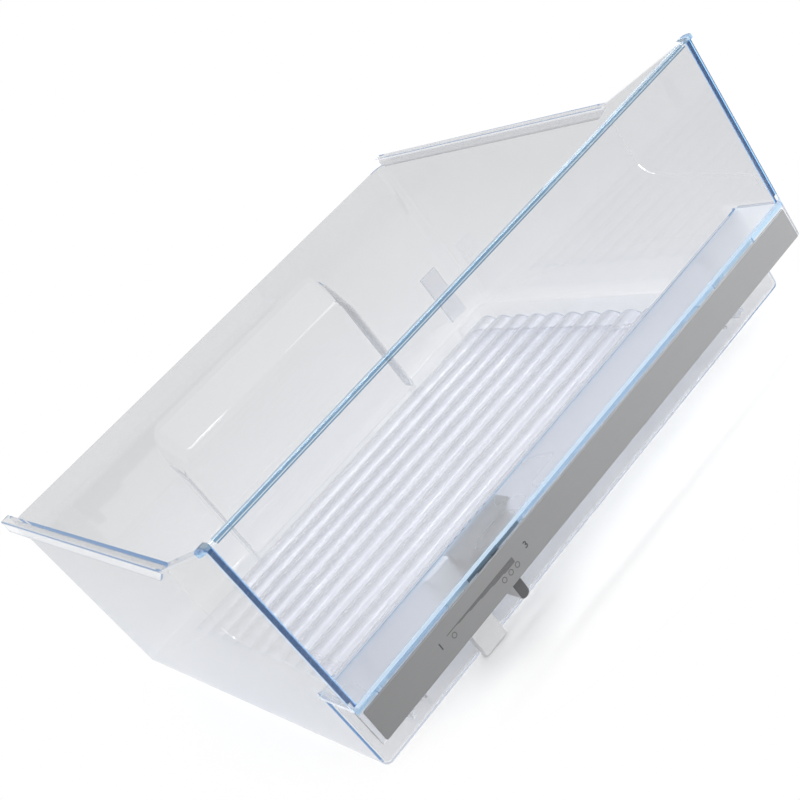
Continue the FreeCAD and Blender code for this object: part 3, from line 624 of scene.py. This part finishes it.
for digit, x in NUMBERS:
    bpy.ops.object.select_all(action="DESELECT")
    bpy.ops.object.text_add()
    label = bpy.context.active_object
    label.data.body = digit
    label.data.size = NUMBER_HEIGHT / DIGIT_SHARE
    label.data.offset = NUMBER_WEIGHT
    label.data.align_x = "CENTER"
    label.data.align_y = "CENTER"
    bpy.ops.object.convert(target="MESH")
    print_on_strip(f"print_number_{digit}", (x, PRINT_FACE, PRINT_MIDDLE))

# Humidity slider.
# Grey moulded slide with its finger knob. Its surface has the fine grain of an etched mould, and
# the left side of the knob is painted paler, painted light standing for the light falling on it.

SLIDE_GREYS = ((0.075, 0.075, 0.08), (0.105, 0.105, 0.11))
KNOB_SIDE_PAINTED_LIGHT = (0.45, 0.45, 0.46)
SLIDE_ROUGHNESS = (0.4, 0.55)
KNOB_SIDE = ((0.1139, -FAR, -FAR), (0.1145, 0.03, 0.045))
KNOB_BLEND = 0.0002

grey = Finish("grey_slide")
etched = grey.grain(scale=400.0)
slide_grey = grey.either(etched, *SLIDE_GREYS)
# Painted light: the knob's left side face is paler than the rest of the slide
slide_grey = grey.either(grey.inside(*KNOB_SIDE, KNOB_BLEND), slide_grey, KNOB_SIDE_PAINTED_LIGHT)
grey.links.new(slide_grey, grey.shader.inputs["Base Color"])
grey.links.new(grey.either(etched, *SLIDE_ROUGHNESS), grey.shader.inputs["Roughness"])
grey.put_on("humidity_slider")

# Slider shoe.
# White block pushed on the end of the slide, in a matt moulding.

SHOE_WHITES = ((0.8, 0.8, 0.81), (0.84, 0.845, 0.85))
SHOE_ROUGHNESS = (0.45, 0.6)

white = Finish("white_shoe")
etched = white.grain(scale=300.0)
white.links.new(white.either(etched, *SHOE_WHITES), white.shader.inputs["Base Color"])
white.links.new(white.either(etched, *SHOE_ROUGHNESS), white.shader.inputs["Roughness"])
white.put_on("slider_shoe")

# Floor insert.
# Ridged mat of slightly milky plastic, pressed from one sheet. It lies loose on two ribs, and the
# cut ends of its ridges are blue, partly the plastic's own colour seen edge-on and partly painted
# glow for the light the sheet carries; rays trapped in the sheet show a pale painted glow.

MAT_HALF_WIDTH = 0.205
RIDGE_PITCH = 0.02565
RIDGE_RISE = 0.0045
RIDGE_COUNT = 13
RIDGE_STEPS = 20
RIDGE_SEAT = 0.0109
MAT_THICKNESS = 0.0019
VALLEY_ROUNDING = 0.0022
MAT_REAR = 0.16625
RIB_PLACES = (-0.191, 0.191)
RIB_THICKNESS = 0.002
RIB_FOOT, RIB_TOP = 0.0026, 0.0089
RIB_ROUNDING = 0.0004
MERGE_DISTANCE = 0.0001
SMOOTH_BELOW = math.radians(40.0)
MAT_CLEAR = (0.885, 0.885, 0.915)
MAT_END = (0.2, 0.36, 0.66)
MAT_DEPTH = (0.88, 0.89, 0.93)
END_DEPTH = (0.3, 0.46, 0.72)
MAT_ROUGHNESS = 0.2
CUT_ENDS = ((0.2048, -FAR, 0.0065), (FAR, FAR, FAR))

mat_length = RIDGE_PITCH * RIDGE_COUNT
arch_radius = ((RIDGE_PITCH / 2) ** 2 + RIDGE_RISE ** 2) / (2 * RIDGE_RISE)
arch_half_angle = math.asin(RIDGE_PITCH / 2 / arch_radius)
first_crown = MAT_REAR - RIDGE_PITCH / 2

bpy.ops.object.select_all(action="DESELECT")
bpy.ops.mesh.primitive_plane_add(size=1.0)
mat = bpy.context.active_object
mat.name = "ridged_mat"
bpy.ops.object.mode_set(mode="EDIT")
bpy.ops.mesh.select_all(action="SELECT")
bpy.ops.transform.resize(value=(MAT_HALF_WIDTH * 2, 0.0, 1.0))
bpy.ops.mesh.remove_doubles(threshold=MERGE_DISTANCE)
bpy.ops.transform.translate(value=(0.0, MAT_REAR, RIDGE_SEAT))
bpy.ops.mesh.spin(
    steps=RIDGE_STEPS, angle=-2 * arch_half_angle, axis=(1.0, 0.0, 0.0),
    center=(0.0, first_crown, RIDGE_SEAT + RIDGE_RISE - arch_radius))
bpy.ops.object.mode_set(mode="OBJECT")
ridges = mat.modifiers.new("ridges", "ARRAY")
ridges.count = RIDGE_COUNT
ridges.use_relative_offset = False
ridges.use_constant_offset = True
ridges.constant_offset_displace = (0.0, -RIDGE_PITCH, 0.0)
ridges.use_merge_vertices = True
ridges.merge_threshold = MERGE_DISTANCE
bpy.ops.object.modifier_apply(modifier="ridges")
for edge in mat.data.edges:
    ends = [mat.data.vertices[index].co for index in edge.vertices]
    in_valley = all(abs(end.z - RIDGE_SEAT) < MERGE_DISTANCE for end in ends)
    edge.select = in_valley and abs(ends[0].y) < MAT_REAR - RIDGE_PITCH / 2
bpy.ops.object.mode_set(mode="EDIT")
bpy.ops.mesh.select_mode(type="EDGE")
bpy.ops.mesh.bevel(offset=VALLEY_ROUNDING, segments=6, affect="EDGES")
bpy.ops.mesh.select_all(action="SELECT")
bpy.ops.mesh.normals_make_consistent(inside=False)
bpy.ops.object.mode_set(mode="OBJECT")
if sum(face.normal.z for face in mat.data.polygons) < 0:
    mat.data.flip_normals()
sheet = mat.modifiers.new("sheet", "SOLIDIFY")
sheet.thickness = MAT_THICKNESS
sheet.offset = -1.0
sheet.use_even_offset = True
bpy.ops.object.modifier_apply(modifier="sheet")

mat_parts = [mat]
for place in RIB_PLACES:
    bpy.ops.object.select_all(action="DESELECT")
    bpy.ops.mesh.primitive_cube_add(size=1.0)
    rib = bpy.context.active_object
    rib.scale = (RIB_THICKNESS, mat_length, RIB_TOP - RIB_FOOT)
    rib.location = (place, MAT_REAR - mat_length / 2, (RIB_FOOT + RIB_TOP) / 2)
    bpy.ops.object.transform_apply(location=True, rotation=True, scale=True)
    bpy.ops.object.mode_set(mode="EDIT")
    bpy.ops.mesh.select_all(action="SELECT")
    bpy.ops.mesh.bevel(offset=RIB_ROUNDING, segments=2, affect="EDGES")
    bpy.ops.object.mode_set(mode="OBJECT")
    mat_parts.append(rib)
bpy.ops.object.select_all(action="DESELECT")
for part in mat_parts:
    part.select_set(True)
bpy.context.view_layer.objects.active = mat
bpy.ops.object.join()
bpy.ops.object.shade_smooth_by_angle(angle=SMOOTH_BELOW)

mat_finish = Finish("milky_mat")
# Painted glow and tint: the cut ends get a blue tint and a blue emission for trapped rays
cut_ends = mat_finish.inside(*CUT_ENDS, EDGE_BLEND)
clear_moulding(
    mat_finish, mat_finish.either(cut_ends, MAT_CLEAR, MAT_END), MAT_ROUGHNESS, scale=20.0,
    deep=mat_finish.either(cut_ends, MAT_DEPTH, END_DEPTH), ripple=0.002)
mat.data.materials.clear()
mat.data.materials.append(mat_finish.material)
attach(mat, "mat")
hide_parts("floor_insert")

# Stop on the back wall.
# Small plate of pale blue clear plastic, clipped flat on the outside of the leaning back wall.
# All its edges are rounded.

STOP_SIZE = (0.022, 0.0027, 0.0558)
STOP_MIDDLE = (0.2165, 0.22092, 0.0355)
BACK_LEAN = math.atan(11.0 / 185.0)
STOP_ROUNDING = 0.0009
STOP_TINTS = ((0.93, 0.945, 0.985), (0.97, 0.975, 1.0))
STOP_DEPTHS = ((0.78, 0.82, 0.9), (0.82, 0.85, 0.92))
STOP_ROUGHNESS = (0.15, 0.3)

bpy.ops.object.select_all(action="DESELECT")
bpy.ops.mesh.primitive_cube_add(size=1.0)
stop = bpy.context.active_object
stop.name = "back_stop"
stop.scale = STOP_SIZE
bpy.ops.object.transform_apply(location=True, rotation=True, scale=True)
bpy.ops.object.mode_set(mode="EDIT")
bpy.ops.mesh.select_all(action="SELECT")
bpy.ops.mesh.bevel(offset=STOP_ROUNDING, segments=3, affect="EDGES")
bpy.ops.object.mode_set(mode="OBJECT")
stop.rotation_euler = (-BACK_LEAN, 0.0, 0.0)
stop.location = STOP_MIDDLE
bpy.ops.object.transform_apply(location=True, rotation=True, scale=True)
bpy.ops.object.shade_smooth_by_angle(angle=SMOOTH_BELOW)

stop_finish = Finish("blue_stop")
cloud = stop_finish.grain(scale=90.0)
# Trapped rays in the stop show a pale blue painted glow that varies with the cloud noise
clear_moulding(
    stop_finish, stop_finish.either(cloud, *STOP_TINTS),
    stop_finish.either(cloud, *STOP_ROUGHNESS), scale=30.0,
    deep=stop_finish.either(cloud, *STOP_DEPTHS), ripple=0.05)
stop.data.materials.append(stop_finish.material)
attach(stop, "drawer")
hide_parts("rear_stop")
